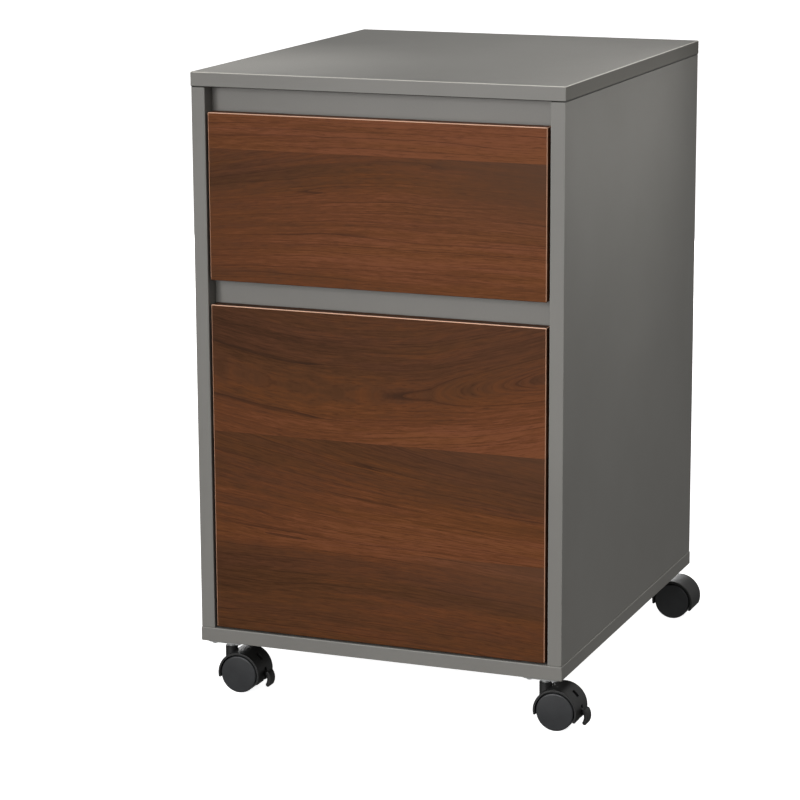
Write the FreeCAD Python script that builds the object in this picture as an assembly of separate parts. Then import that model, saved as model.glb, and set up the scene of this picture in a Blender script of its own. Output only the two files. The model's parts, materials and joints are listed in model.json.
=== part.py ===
import FreeCAD, Part
import math
import os

from FreeCAD import Vector

# Mobile file cabinet: a laminate case on four twin-wheel casters, with a box drawer over a file drawer.
# Millimetres. +Z is up, the front faces -Y, and the origin is on the floor under the middle of the case.

# Case boards
WIDTH = 400.0
DEPTH = 465.0
CASE_HEIGHT = 600.0
BOARD = 15.0
OVERHANG = 0.5          # top and bottom panels stand this far proud of the sides
ARRIS = 1.0             # rounding along the edges of every board

# Drawer fronts, set between the sides, and the rails behind their finger gaps
UPPER_FRONT_HEIGHT = 172.5
FINGER_GAP = 25.5
FRONT_SIDE_GAP = 3.0
FRONT_BOTTOM_GAP = 2.0
RAIL_SETBACK = 2.0      # from the back of a drawer front to the face of a rail
RAIL_LAP = 12.0         # how far a rail reaches up or down behind a drawer front

# Drawer boxes
BOX_BOARD = 12.0
BOX_FLOOR_GAP = 10.0    # under a box
BOX_HEADROOM = 18.0     # over the upper box
FILE_HEADROOM = 75.0    # over the lower box, for the tabs of hanging folders
BOX_BACK_GAP = 24.0     # behind a box
BASE_BOARD = 4.0
BASE_RISE = 10.0        # from a box's lower edge to its base
GROOVE_DEPTH = 5.0
GROOVE_PLAY = 0.15

# Hanging rails for folders, clipped over the sides of the file drawer
CLIP_WALL = 1.5
CLIP_LEG = 10.0
CLIP_PLAY = 0.1
CLIP_END_GAP = 1.0
HANGER_RIB = 2.0
HANGER_HEIGHT = 8.0

# Ball-bearing slides with three members
SLIDE_THICKNESS = 12.7
SLIDE_HEIGHT = 45.0
SLIDE_SHEET = 1.2
SLIDE_SETBACK = 4.0     # behind the back of a drawer front
SLIDE_BACK_GAP = 30.0   # in front of the back panel
CASE_FLANGE = 10.0
CASE_LIP = 1.4
MIDDLE_WEB_GAP = 0.8    # between the webs of the case member and the middle member
MIDDLE_TIP_GAP = 0.9    # from the middle member's flanges to the drawer member's web
DRAWER_TIP_GAP = 1.0    # from the drawer member's flanges to the middle member's web
BALL_RADIUS = 2.0
BALL_PLAY = 0.05
RACE_DEPTH = 0.5
OUTER_BALL_REACH = 5.6  # from the case side to the line of balls
INNER_BALL_REACH = 7.4
BALLS = 4               # in one cage strip
CAGE_SHEET = 0.8
CAGE_WIDTH = 4.6
CAGE_MARGIN = 10.0      # kept inside the shortest overlap of two members, at each end
CAGE_END = 10.0         # from the last ball to the end of a strip

# Dowels and cam fittings of the case
FIT = 0.05
DOWEL_RADIUS = 4.0
DOWEL_LENGTH = 30.0
DOWEL_HEAD = 10.0       # share of a dowel or bolt that sits in the first board
DOWEL_EDGE = 60.0       # from a board's front or back edge to the nearest dowel
RAIL_DOWEL_EDGE = 12.0
CAM_EDGE = 100.0
CAM_RADIUS = 7.5
CAM_DEPTH = 12.0
CAM_REACH = 24.0        # from the end of a side to the middle of a cam
CAM_SLOT_LENGTH = 9.0
CAM_SLOT_WIDTH = 1.6
CAM_SLOT_DEPTH = 2.0
BOLT_RADIUS = 3.0

# Casters
CASTER_SIDE_INSET = 24.5
CASTER_END_INSET = 23.0
WHEEL_RADIUS = 20.0
WHEEL_WIDTH = 13.2
WHEEL_RIM = 3.0
WHEEL_DISC = 3.0
WHEEL_ROUND = 1.6
WHEEL_DOME = 0.6
WHEEL_FLAT = 2.0        # radius of the flat at the middle of the dome
HUB_RADIUS = 5.5
WEB = 9.4               # between the two wheels
WEB_GAP = 0.6
WELL_GAP = 1.2          # from a tread to the hood
HOOD_WALL = 2.3
HOOD_NECK_DROP = 11.5   # degrees below the axle where the hood ends on the kingpin's side
HOOD_TAIL_DROP = 24.0   # degrees below the axle where it ends on the other side
HOOD_ROUND = 0.8
BOSS_RADIUS = 6.0
TRAIL = 15.5
AXLE_RADIUS = 2.5
AXLE_END_GAP = 0.3
NECK_RADIUS = 6.6
NECK_RISE = 2.2
NECK_GAP = 0.3
COLLAR_RADIUS = 4.75
COLLAR_LENGTH = 7.0
KINGPIN_RADIUS = 3.0
KINGPIN_DEPTH = 18.0
SOCKET_SPARE = 1.0
PLATE_SIZE = 38.0
PLATE_SHEET = 2.0
PLATE_CORNER = 4.0
SCREW_PITCH = 26.0
SCREW_RADIUS = 2.0
SCREW_LENGTH = 11.0
SCREW_HEAD_RADIUS = 3.4
SCREW_HEAD = 2.2
SCREW_HEAD_ROUND = 1.2
PLATE_HOLE_PLAY = 0.3

# Brake levers of the front casters, at rest in the locked position
BRAKE_RELEASE = 15.0    # degrees of lift that free the wheels
BRAKE_SHEET = 4.4
BRAKE_PLAY = 0.3
PIVOT_INSET = 6.0       # from the hood's inner wall
PIVOT_ANGLE = 8.0
PIVOT_RADIUS = 1.5
PIVOT_PLAY = 0.1
PIVOT_END_GAP = 0.2
PIVOT_EYE = 3.2
SHOE_RADIUS = 1.6
SHOE_ANGLE = 45.0
SHOE_GAP = 0.4          # to the inside of the rims, locked
SHOE_REACH = 4.5        # into each wheel
SHOE_EYE = 2.6
SHOE_ROOM = 0.6
LEVER_SLOT_INNER = 9.0
LEVER_SLOT_LOW = -48.0  # degrees from the axle's level, where both slots end
LEVER_SLOT_TOP = 68.0   # inside the hood
TAIL_SLOT_TOP = 13.0    # through the hood
VENT_FROM = 35.0        # degrees above the axle, a slot over the lever
VENT_TO = 55.0
VENT_WIDTH = 5.4
PEDAL_WIDTH = 12.0
PEDAL_SHEET = 4.6
PEDAL_CURVE = 14.0      # outer radius of its bent section
PEDAL_SPAN = 31.0       # degrees of that section above and below its middle
PEDAL_REACH = 8.2       # beyond the hood
PEDAL_MIDDLE = -6.0     # from the axle's level
PEDAL_JOIN = 12.0       # degrees above its middle, where the arm meets it
PEDAL_ROUND = 0.8

X_AXIS = Vector(1, 0, 0)
Y_AXIS = Vector(0, 1, 0)
Z_AXIS = Vector(0, 0, 1)
SIDES = {"left": -1, "right": 1}
ENDS = {"front": -1, "rear": 1}

# Heights of a caster, from the floor up
well_radius = WHEEL_RADIUS + WELL_GAP
hood_radius = well_radius + HOOD_WALL
hood_half = WEB / 2 + WEB_GAP + WHEEL_WIDTH
neck_top = WHEEL_RADIUS + hood_radius + NECK_RISE
collar_low = neck_top + NECK_GAP
plate_low = collar_low + COLLAR_LENGTH
case_low = plate_low + PLATE_SHEET

# Planes of the case
case_high = case_low + CASE_HEIGHT
bay_low = case_low + BOARD
bay_high = case_high - BOARD
side_outer = WIDTH / 2 - OVERHANG
side_inner = side_outer - BOARD
side_middle = (side_outer + side_inner) / 2
case_front = OVERHANG - DEPTH / 2
case_back = DEPTH / 2 - OVERHANG
front_inner = case_front + BOARD
rail_front = front_inner + RAIL_SETBACK
rail_back = rail_front + BOARD
back_inner = case_back - BOARD

# Heights of the fronts, rails and boxes
upper_front_high = bay_high - FINGER_GAP
upper_front_low = upper_front_high - UPPER_FRONT_HEIGHT
lower_front_high = upper_front_low - FINGER_GAP
lower_front_low = bay_low + FRONT_BOTTOM_GAP
upper_rail_low = upper_front_high - RAIL_LAP
middle_rail_high = upper_front_low + RAIL_LAP
middle_rail_low = lower_front_high - RAIL_LAP
upper_box = (middle_rail_high + BOX_FLOOR_GAP, upper_rail_low - BOX_HEADROOM)
lower_box = (bay_low + BOX_FLOOR_GAP, middle_rail_low - FILE_HEADROOM)

# Planes of the boxes and slides
box_outer = side_inner - SLIDE_THICKNESS
box_inner = box_outer - BOX_BOARD
box_back = back_inner - BOX_BACK_GAP
slide_front = front_inner + SLIDE_SETBACK
slide_back = back_inner - SLIDE_BACK_GAP
slide_middle = (slide_front + slide_back) / 2
slide_length = slide_back - slide_front

# Heights of the slide's flanges and ball lines above and below its middle
case_half = SLIDE_HEIGHT / 2
outer_ball_line = case_half - SLIDE_SHEET + RACE_DEPTH - BALL_PLAY - BALL_RADIUS
middle_half = outer_ball_line - BALL_RADIUS - BALL_PLAY + RACE_DEPTH
inner_ball_line = middle_half - SLIDE_SHEET + RACE_DEPTH - BALL_PLAY - BALL_RADIUS
drawer_half = inner_ball_line - BALL_RADIUS - BALL_PLAY + RACE_DEPTH
middle_web = SLIDE_SHEET + MIDDLE_WEB_GAP
middle_tip = SLIDE_THICKNESS - SLIDE_SHEET - MIDDLE_TIP_GAP
drawer_tip = middle_web + SLIDE_SHEET + DRAWER_TIP_GAP
cage_half = slide_length / 4 - CAGE_MARGIN


def block(x_ends, y_ends, z_ends):
    """A box between two planes on each axis."""
    low = Vector(min(x_ends), min(y_ends), min(z_ends))
    return Part.makeBox(max(x_ends) - low.x, max(y_ends) - low.y, max(z_ends) - low.z, low)


def board(x_ends, y_ends, z_ends):
    """A laminate board with every edge rounded."""
    plain = block(x_ends, y_ends, z_ends)
    return plain.makeFillet(ARRIS, plain.Edges)


def rod(start, direction, radius, length):
    """A round bar."""
    return Part.makeCylinder(radius, length, start, direction)


def cross_rod(centre, radius, half_length):
    """A round bar along Y, with its middle at a point."""
    return rod(centre - Y_AXIS * half_length, Y_AXIS, radius, 2 * half_length)


def slab(outline, half_thickness):
    """An outline in the XZ plane, thickened evenly to both sides along Y."""
    face = Part.Face(Part.Wire(outline))
    face.translate(-Y_AXIS * half_thickness)
    return face.extrude(Y_AXIS * 2 * half_thickness)


def bar_along_y(corners, y_ends):
    """A straight bar along Y with a section given as (x, z) corners."""
    points = [Vector(x, min(y_ends), z) for x, z in corners]
    section = Part.Face(Part.makePolygon(points + points[:1]))
    return section.extrude(Y_AXIS * (max(y_ends) - min(y_ends)))


def drilled(shape, cutters):
    """The shape without those cutters that reach it."""
    near = [cutter for cutter in cutters if cutter.BoundBox.intersect(shape.BoundBox)]
    return shape.cut(near) if near else shape


def dowel_places():
    """Each dowel's place on a joint between two boards, and its way into the second board."""
    places = []
    for side in SIDES.values():
        for y in (case_front + DOWEL_EDGE, case_back - DOWEL_EDGE):
            places.append((Vector(side * side_middle, y, bay_high), -Z_AXIS))
            places.append((Vector(side * side_middle, y, bay_low), Z_AXIS))
        rail_y = (rail_front + rail_back) / 2
        back_y = (back_inner + case_back) / 2
        across = [(rail_y, (upper_rail_low + bay_high) / 2)]
        across += [(rail_y, middle_rail_low + RAIL_DOWEL_EDGE), (rail_y, middle_rail_high - RAIL_DOWEL_EDGE)]
        across += [(back_y, bay_low + DOWEL_EDGE), (back_y, bay_high - DOWEL_EDGE)]
        for y, z in across:
            places.append((Vector(side * side_inner, y, z), X_AXIS * -side))
    return places


def cam_places():
    """Each cam bolt's place on the end of a side, its way into the side, and the way the cam faces."""
    places = []
    for side in SIDES.values():
        for y in (case_front + CAM_EDGE, case_back - CAM_EDGE):
            places.append((Vector(side * side_middle, y, bay_high), -Z_AXIS, side))
            places.append((Vector(side * side_middle, y, bay_low), Z_AXIS, side))
    return places


def cam_lock(centre, way, side):
    """A round cam with a bore for the bolt and a crossed slot in its face, which is flush with the side."""
    face = Vector(side * side_inner, centre.y, centre.z)
    cam = rod(face, X_AXIS * side, CAM_RADIUS, CAM_DEPTH)
    bore = rod(centre - way * CAM_RADIUS, way, BOLT_RADIUS + FIT, CAM_RADIUS + BOLT_RADIUS)
    depth = (face.x, face.x + side * CAM_SLOT_DEPTH)
    wide = (-CAM_SLOT_LENGTH / 2, CAM_SLOT_LENGTH / 2)
    thin = (-CAM_SLOT_WIDTH / 2, CAM_SLOT_WIDTH / 2)
    level = block(depth, [face.y + y for y in wide], [face.z + z for z in thin])
    upright = block(depth, [face.y + y for y in thin], [face.z + z for z in wide])
    return cam.cut([bore, level, upright])


def case_fasteners():
    """Dowels, cam fittings and the holes that they need in the case boards."""
    dowels, fittings, holes = [], [], []
    for place, way in dowel_places():
        dowels.append(rod(place - way * DOWEL_HEAD, way, DOWEL_RADIUS, DOWEL_LENGTH))
        start = place - way * (DOWEL_HEAD + FIT)
        holes.append(rod(start, way, DOWEL_RADIUS + FIT, DOWEL_LENGTH + 2 * FIT))
    for place, way, side in cam_places():
        centre = place + way * CAM_REACH
        fittings.append(rod(place - way * DOWEL_HEAD, way, BOLT_RADIUS, DOWEL_HEAD + CAM_REACH))
        fittings.append(cam_lock(centre, way, side))
        start = place - way * (DOWEL_HEAD + FIT)
        holes.append(rod(start, way, BOLT_RADIUS + FIT, DOWEL_HEAD + CAM_REACH))
        face = Vector(side * side_inner, centre.y, centre.z)
        holes.append(rod(face, X_AXIS * side, CAM_RADIUS + FIT, CAM_DEPTH + FIT))
    return dowels, fittings, holes


def case_boards():
    """Top, bottom, sides, back and the two rails behind the finger gaps, not yet drilled."""
    full_width = (-WIDTH / 2, WIDTH / 2)
    full_depth = (-DEPTH / 2, DEPTH / 2)
    between = (-side_inner, side_inner)
    bay = (bay_low, bay_high)
    boards = {
        "top_panel": board(full_width, full_depth, (bay_high, case_high)),
        "bottom_panel": board(full_width, full_depth, (case_low, bay_low)),
        "back_panel": board(between, (back_inner, case_back), bay),
        "upper_rail": board(between, (rail_front, rail_back), (upper_rail_low, bay_high)),
        "middle_rail": board(between, (rail_front, rail_back), (middle_rail_low, middle_rail_high)),
    }
    for name, side in SIDES.items():
        x_ends = (side * side_inner, side * side_outer)
        boards[f"{name}_side_panel"] = board(x_ends, (case_front, case_back), bay)
    return boards


def drawer(front_ends, box_ends):
    """Front, sides, back and base of one drawer. The base slides into grooves from the back."""
    box_low, box_high = box_ends
    base_low = box_low + BASE_RISE
    base_high = base_low + BASE_BOARD
    front_half = side_inner - FRONT_SIDE_GAP
    base_half = box_inner + GROOVE_DEPTH
    base_front = front_inner - GROOVE_DEPTH
    groove = block((-base_half, base_half), (base_front, box_back), (base_low, base_high + GROOVE_PLAY))
    base_x = (GROOVE_PLAY - base_half, base_half - GROOVE_PLAY)
    back_y = (box_back - BOX_BOARD, box_back)
    boards = {
        "front": board((-front_half, front_half), (case_front, front_inner), front_ends).cut(groove),
        "back": board((-box_inner, box_inner), back_y, (base_high + GROOVE_PLAY, box_high)),
        "base": block(base_x, (base_front + GROOVE_PLAY, box_back), (base_low, base_high)),
    }
    for name, side in SIDES.items():
        x_ends = (side * box_inner, side * box_outer)
        boards[f"{name}_side"] = board(x_ends, (front_inner, box_back), box_ends).cut(groove)
    return boards


def file_rail(side):
    """A channel over the top of a drawer side, with a rib that the hooks of a folder hang on."""
    top = lower_box[1]
    inner = box_inner - CLIP_WALL
    outer = box_outer + CLIP_WALL
    grip = CLIP_WALL - CLIP_PLAY
    foot = top - CLIP_LEG
    shelf = top + CLIP_WALL
    crest = shelf + HANGER_HEIGHT
    section = [(outer, foot), (outer, shelf), (inner + HANGER_RIB, shelf), (inner + HANGER_RIB, crest)]
    section += [(inner, crest), (inner, foot), (inner + grip, foot), (inner + grip, top)]
    section += [(outer - grip, top), (outer - grip, foot)]
    y_ends = (front_inner + CLIP_END_GAP, box_back - BOX_BOARD - CLIP_END_GAP)
    return bar_along_y([(side * x, z) for x, z in section], y_ends)


def channel(side, middle_z, web, tip, half, lip=0.0):
    """A slide member: a web and two flanges, each with a lip at its tip where one is asked for."""
    inward = SLIDE_SHEET if tip > web else -SLIDE_SHEET
    inner = half - SLIDE_SHEET
    upper = [(web + inward, inner), (tip - inward, inner), (tip - inward, inner - lip), (tip, inner - lip)]
    if lip == 0.0:
        upper = [(web + inward, inner), (tip, inner)]
    upper += [(tip, half), (web, half)]
    lower = [(reach, -height) for reach, height in reversed(upper)]
    section = [(side * (side_inner - reach), middle_z + height) for reach, height in upper + lower]
    return bar_along_y(section, (slide_front, slide_back))


def ball_lines(side, middle_z, reach, height):
    """The middles of the upper and lower lines of balls in one slide."""
    x = side * (side_inner - reach)
    return [Vector(x, slide_middle, middle_z + sign * height) for sign in (1, -1)]


def races(side, middle_z):
    """Round grooves that the balls run in, along both pairs of lines."""
    lines = ball_lines(side, middle_z, OUTER_BALL_REACH, outer_ball_line)
    lines += ball_lines(side, middle_z, INNER_BALL_REACH, inner_ball_line)
    return [cross_rod(line, BALL_RADIUS + BALL_PLAY, slide_length) for line in lines]


def ball_cage(line):
    """A strip with its balls."""
    x_ends = (line.x - CAGE_WIDTH / 2, line.x + CAGE_WIDTH / 2)
    z_ends = (line.z - CAGE_SHEET / 2, line.z + CAGE_SHEET / 2)
    strip = block(x_ends, (line.y - cage_half, line.y + cage_half), z_ends)
    first = line.y - cage_half + CAGE_END
    pitch = 2 * (cage_half - CAGE_END) / (BALLS - 1)
    balls = [Part.makeSphere(BALL_RADIUS, Vector(line.x, first + n * pitch, line.z)) for n in range(BALLS)]
    return strip.fuse(balls)


def slides(level, middle_z):
    """Both slides of a drawer: three members on each side, and the cages between them."""
    pieces = {}
    outer_cages, inner_cages = [], []
    for name, side in SIDES.items():
        grooves = races(side, middle_z)
        case_member = channel(side, middle_z, 0.0, CASE_FLANGE, case_half, CASE_LIP)
        middle_member = channel(side, middle_z, middle_web, middle_tip, middle_half)
        drawer_member = channel(side, middle_z, SLIDE_THICKNESS, drawer_tip, drawer_half)
        pieces[f"{level}_{name}_slide_case_member"] = case_member.cut(grooves)
        pieces[f"{level}_{name}_slide_middle_member"] = middle_member.cut(grooves)
        pieces[f"{level}_{name}_slide_drawer_member"] = drawer_member.cut(grooves)
        outer_lines = ball_lines(side, middle_z, OUTER_BALL_REACH, outer_ball_line)
        inner_lines = ball_lines(side, middle_z, INNER_BALL_REACH, inner_ball_line)
        outer_cages += [ball_cage(line) for line in outer_lines]
        inner_cages += [ball_cage(line) for line in inner_lines]
    pieces[f"{level}_slide_outer_ball_cages"] = Part.makeCompound(outer_cages)
    pieces[f"{level}_slide_inner_ball_cages"] = Part.makeCompound(inner_cages)
    return pieces


def from_axle(across, up):
    """A point of a caster, given from its axle. The kingpin is the Z axis and the wheels trail along +X."""
    return Vector(TRAIL + across, 0, WHEEL_RADIUS + up)


def around(centre, radius, degrees):
    """A point at an angle around a centre, seen from the side of a caster."""
    angle = math.radians(degrees)
    return centre + Vector(radius * math.cos(angle), 0, radius * math.sin(angle))


def around_axle(radius, degrees):
    """A point of a caster at an angle around its axle."""
    return around(from_axle(0, 0), radius, degrees)


def ring_sector(centre, inner, outer, low, high, half_thickness):
    """A piece of a ring around a centre, between two angles."""
    angles = (low, (low + high) / 2, high)
    outer_points = [around(centre, outer, angle) for angle in angles]
    inner_points = [around(centre, inner, angle) for angle in angles]
    outline = [
        Part.Arc(*outer_points).toShape(),
        Part.makeLine(outer_points[-1], inner_points[-1]),
        Part.Arc(*reversed(inner_points)).toShape(),
        Part.makeLine(inner_points[0], outer_points[0]),
    ]
    return slab(outline, half_thickness)


def screw_places():
    """The four holes of a caster plate, from its kingpin."""
    half = SCREW_PITCH / 2
    return [Vector(x, y, 0) for x in (-half, half) for y in (-half, half)]


def caster_plate():
    """The screw-on plate with its collar and kingpin."""
    half = PLATE_SIZE / 2
    plate = block((-half, half), (-half, half), (plate_low, case_low))
    upright = [edge for edge in plate.Edges if edge.BoundBox.ZLength > PLATE_SHEET / 2]
    plate = plate.makeFillet(PLATE_CORNER, upright)
    collar = rod(Z_AXIS * collar_low, Z_AXIS, COLLAR_RADIUS, COLLAR_LENGTH)
    kingpin = rod(Z_AXIS * (neck_top - KINGPIN_DEPTH), Z_AXIS, KINGPIN_RADIUS, KINGPIN_DEPTH + NECK_GAP)
    hole_radius = SCREW_RADIUS + PLATE_HOLE_PLAY
    holes = [rod(place + Z_AXIS * plate_low, Z_AXIS, hole_radius, PLATE_SHEET) for place in screw_places()]
    return plate.cut(holes).fuse([collar, kingpin])


def caster_screw():
    """A pan-head screw, up through the plate into the bottom panel."""
    head = rod(Z_AXIS * (plate_low - SCREW_HEAD), Z_AXIS, SCREW_HEAD_RADIUS, SCREW_HEAD)
    rim = [edge for edge in head.Edges if edge.BoundBox.ZMax < plate_low - SCREW_HEAD / 2]
    head = head.makeFillet(SCREW_HEAD_ROUND, rim)
    return head.fuse(rod(Z_AXIS * plate_low, Z_AXIS, SCREW_RADIUS, PLATE_SHEET + SCREW_LENGTH))


def screw_hole():
    """The pilot hole of a caster screw in the bottom panel."""
    return rod(Z_AXIS * case_low, Z_AXIS, SCREW_RADIUS + FIT, SCREW_LENGTH + FIT)


def brake_pivot():
    return around_axle(well_radius - PIVOT_INSET, PIVOT_ANGLE)


def brake_shoe():
    return around_axle(WHEEL_RADIUS - WHEEL_RIM - SHOE_GAP - SHOE_RADIUS, SHOE_ANGLE)


def brake_room():
    """What a braked hood leaves free: the lever's slots, its pivot holes and the path of the shoe."""
    half = BRAKE_SHEET / 2 + BRAKE_PLAY
    axle = from_axle(0, 0)
    through = (well_radius - BRAKE_PLAY, hood_radius + HOOD_WALL)
    inside = ring_sector(axle, LEVER_SLOT_INNER, well_radius, LEVER_SLOT_LOW, LEVER_SLOT_TOP, half)
    tail = ring_sector(axle, *through, LEVER_SLOT_LOW, TAIL_SLOT_TOP, half)
    vent = ring_sector(axle, *through, VENT_FROM, VENT_TO, VENT_WIDTH / 2)
    pivot = cross_rod(brake_pivot(), PIVOT_RADIUS + PIVOT_PLAY, WEB)
    released = cross_rod(brake_shoe(), SHOE_RADIUS, WEB)
    released.rotate(brake_pivot(), -Y_AXIS, BRAKE_RELEASE)
    free_shoe = released.BoundBox.Center
    locked_shoe = brake_shoe()
    middle = (locked_shoe + Vector(free_shoe.x, 0, free_shoe.z)) / 2
    path = cross_rod(middle, middle.distanceToPoint(locked_shoe) + SHOE_RADIUS + SHOE_ROOM, WEB)
    return [inside, tail, vent, pivot, path]


def caster_hood(braked):
    """The moulded hood: a shroud over both wheels, a web between them, and the neck on the kingpin."""
    tail = around_axle(hood_radius, -HOOD_TAIL_DROP)
    head = around_axle(hood_radius, 180 + HOOD_NECK_DROP)
    boss_head, boss_low, boss_tail = [around_axle(BOSS_RADIUS, degrees) for degrees in (225, 270, 315)]
    outline = [
        Part.Arc(tail, around_axle(hood_radius, 90), head).toShape(),
        Part.makeLine(head, boss_head),
        Part.Arc(boss_head, boss_low, boss_tail).toShape(),
        Part.makeLine(boss_tail, tail),
    ]
    shroud = slab(outline, hood_half)
    outer_faces = [face for face in shroud.Faces if face.Surface.TypeId == "Part::GeomCylinder"]
    shell = max(outer_faces, key=lambda face: face.Area)
    shroud = shroud.makeFillet(HOOD_ROUND, shell.Edges)
    neck = rod(Z_AXIS * WHEEL_RADIUS, Z_AXIS, NECK_RADIUS, neck_top - WHEEL_RADIUS)
    axle = from_axle(0, 0)
    wells = []
    for end in ENDS.values():
        wells.append(rod(axle + Y_AXIS * end * WEB / 2, Y_AXIS * end, well_radius, hood_half))
    socket_low = neck_top - KINGPIN_DEPTH - SOCKET_SPARE
    socket = rod(Z_AXIS * socket_low, Z_AXIS, KINGPIN_RADIUS + FIT, neck_top - socket_low)
    axle_hole = cross_rod(axle, AXLE_RADIUS + FIT, WEB)
    room = brake_room() if braked else []
    return shroud.fuse(neck).cut(wells + [socket, axle_hole] + room)


def caster_wheel(end):
    """A cup-shaped wheel with a domed face, turned about the axle. Its hub runs on the axle."""
    inner = WEB / 2 + WEB_GAP
    bore = AXLE_RADIUS + FIT
    floor = hood_half - WHEEL_DISC
    rim_inner = WHEEL_RADIUS - WHEEL_RIM
    shoulder = WHEEL_RADIUS - WHEEL_ROUND
    corner = WHEEL_ROUND * (1 - math.sqrt(0.5))

    def place(radius, out):
        return from_axle(radius, 0) + Y_AXIS * end * out

    def run(*stops):
        points = [place(radius, out) for radius, out in stops]
        return [Part.makeLine(start, stop) for start, stop in zip(points, points[1:])]

    face_round = Part.Arc(
        place(WHEEL_RADIUS, hood_half - WHEEL_ROUND),
        place(WHEEL_RADIUS - corner, hood_half - corner),
        place(shoulder, hood_half),
    )
    dome_centre = (WHEEL_FLAT**2 + WHEEL_DOME**2 - shoulder**2) / (2 * WHEEL_DOME)
    dome_radius = math.hypot(shoulder, dome_centre)
    halfway = (shoulder + WHEEL_FLAT) / 2
    dome = Part.Arc(
        place(shoulder, hood_half),
        place(halfway, hood_half + dome_centre + math.sqrt(dome_radius**2 - halfway**2)),
        place(WHEEL_FLAT, hood_half + WHEEL_DOME),
    )
    outline = run((0, floor), (bore, floor), (bore, inner), (HUB_RADIUS, inner), (HUB_RADIUS, floor))
    outline += run((HUB_RADIUS, floor), (rim_inner, floor), (rim_inner, inner), (WHEEL_RADIUS, inner))
    outline += run((WHEEL_RADIUS, inner), (WHEEL_RADIUS, hood_half - WHEEL_ROUND))
    outline += [face_round.toShape(), dome.toShape()]
    outline += run((WHEEL_FLAT, hood_half + WHEEL_DOME), (0, hood_half + WHEEL_DOME), (0, floor))
    return Part.Face(Part.Wire(outline)).revolve(from_axle(0, 0), Y_AXIS, 360)


def caster_axle():
    return cross_rod(from_axle(0, 0), AXLE_RADIUS, hood_half - WHEEL_DISC - AXLE_END_GAP)


def link(start, stop, start_radius, stop_radius, half_thickness):
    """Two round eyes joined by a straight waist as wide as the smaller one."""
    along = (stop - start).normalize()
    aside = Vector(-along.z, 0, along.x) * min(start_radius, stop_radius)
    corners = [start + aside, stop + aside, stop - aside, start - aside]
    waist = slab(Part.makePolygon(corners + corners[:1]).Edges, half_thickness)
    eyes = [cross_rod(start, start_radius, half_thickness), cross_rod(stop, stop_radius, half_thickness)]
    return waist.fuse(eyes)


def pedal_centre():
    return from_axle(hood_radius + PEDAL_REACH - PEDAL_CURVE, PEDAL_MIDDLE)


def pedal_place(degrees):
    """A point halfway through the pedal's sheet, at an angle around the centre of its bend."""
    return around(pedal_centre(), PEDAL_CURVE - PEDAL_SHEET / 2, degrees)


def brake_pedal():
    """The bent pedal outside the hood, with round ends, pointing down when the wheels are locked."""
    half = PEDAL_WIDTH / 2
    ends = (-PEDAL_SPAN, PEDAL_SPAN)
    sheet = ring_sector(pedal_centre(), PEDAL_CURVE - PEDAL_SHEET, PEDAL_CURVE, *ends, half)
    tips = [cross_rod(pedal_place(degrees), PEDAL_SHEET / 2, half) for degrees in ends]
    pedal = sheet.fuse(tips).removeSplitter()
    rims = [edge for edge in pedal.Edges if abs(edge.CenterOfMass.y) > half - PEDAL_ROUND]
    return pedal.makeFillet(PEDAL_ROUND, rims)


def brake_lever():
    """The lever on its pivot, with a cross-bar shoe inside both wheels and a pedal outside the hood."""
    half = BRAKE_SHEET / 2
    pivot, shoe = brake_pivot(), brake_shoe()
    arm = link(pivot, pedal_place(PEDAL_JOIN), PIVOT_EYE, PEDAL_SHEET / 2, half)
    pins = cross_rod(pivot, PIVOT_RADIUS, WEB / 2 - PIVOT_END_GAP)
    shoe_bar = cross_rod(shoe, SHOE_RADIUS, WEB / 2 + WEB_GAP + SHOE_REACH)
    return link(pivot, shoe, PIVOT_EYE, SHOE_EYE, half).fuse([arm, pins, shoe_bar, brake_pedal()])


def caster_spots():
    """Each caster's name and the foot of its kingpin on the floor."""
    spots = {}
    for end_name, end in ENDS.items():
        for side_name, side in SIDES.items():
            x = side * (WIDTH / 2 - CASTER_SIDE_INSET)
            y = end * (DEPTH / 2 - CASTER_END_INSET)
            spots[f"{end_name}_{side_name}"] = Vector(x, y, 0)
    return spots


def casters():
    """Four casters with their wheels, and brake levers on the front pair."""
    pieces = {}
    for name, spot in caster_spots().items():
        braked = name.startswith("front")
        caster = {
            "caster_plate": caster_plate(),
            "caster_hood": caster_hood(braked),
            "caster_axle": caster_axle(),
            "caster_front_wheel": caster_wheel(ENDS["front"]),
            "caster_rear_wheel": caster_wheel(ENDS["rear"]),
        }
        if braked:
            caster["caster_brake_lever"] = brake_lever()
        for piece_name, piece in caster.items():
            pieces[f"{name}_{piece_name}"] = piece.translate(spot)
    return pieces


def at_each_screw(make):
    """One copy of a shape at every caster screw."""
    return [make().translate(spot + place) for spot in caster_spots().values() for place in screw_places()]


def cabinet():
    """Every piece of the cabinet by name."""
    dowels, fittings, holes = case_fasteners()
    holes += at_each_screw(screw_hole)
    pieces = {name: drilled(shape, holes) for name, shape in case_boards().items()}
    pieces["case_dowels"] = Part.makeCompound(dowels)
    pieces["case_cam_fittings"] = Part.makeCompound(fittings)
    fronts = {"upper": (upper_front_low, upper_front_high), "lower": (lower_front_low, lower_front_high)}
    boxes = {"upper": upper_box, "lower": lower_box}
    for level, box_ends in boxes.items():
        for name, shape in drawer(fronts[level], box_ends).items():
            pieces[f"{level}_drawer_{name}"] = shape
        pieces.update(slides(level, sum(box_ends) / 2))
    for name, side in SIDES.items():
        pieces[f"{name}_file_rail"] = file_rail(side)
    pieces.update(casters())
    pieces["caster_screws"] = Part.makeCompound(at_each_screw(caster_screw))
    return pieces


os.makedirs("parts", exist_ok=True)
for node, solid in cabinet().items():
    solid.exportStep(f"parts/{node}.step")
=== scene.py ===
import json
import math
from dataclasses import dataclass

import bmesh
import bpy
from mathutils import Matrix, Quaternion, Vector


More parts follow.
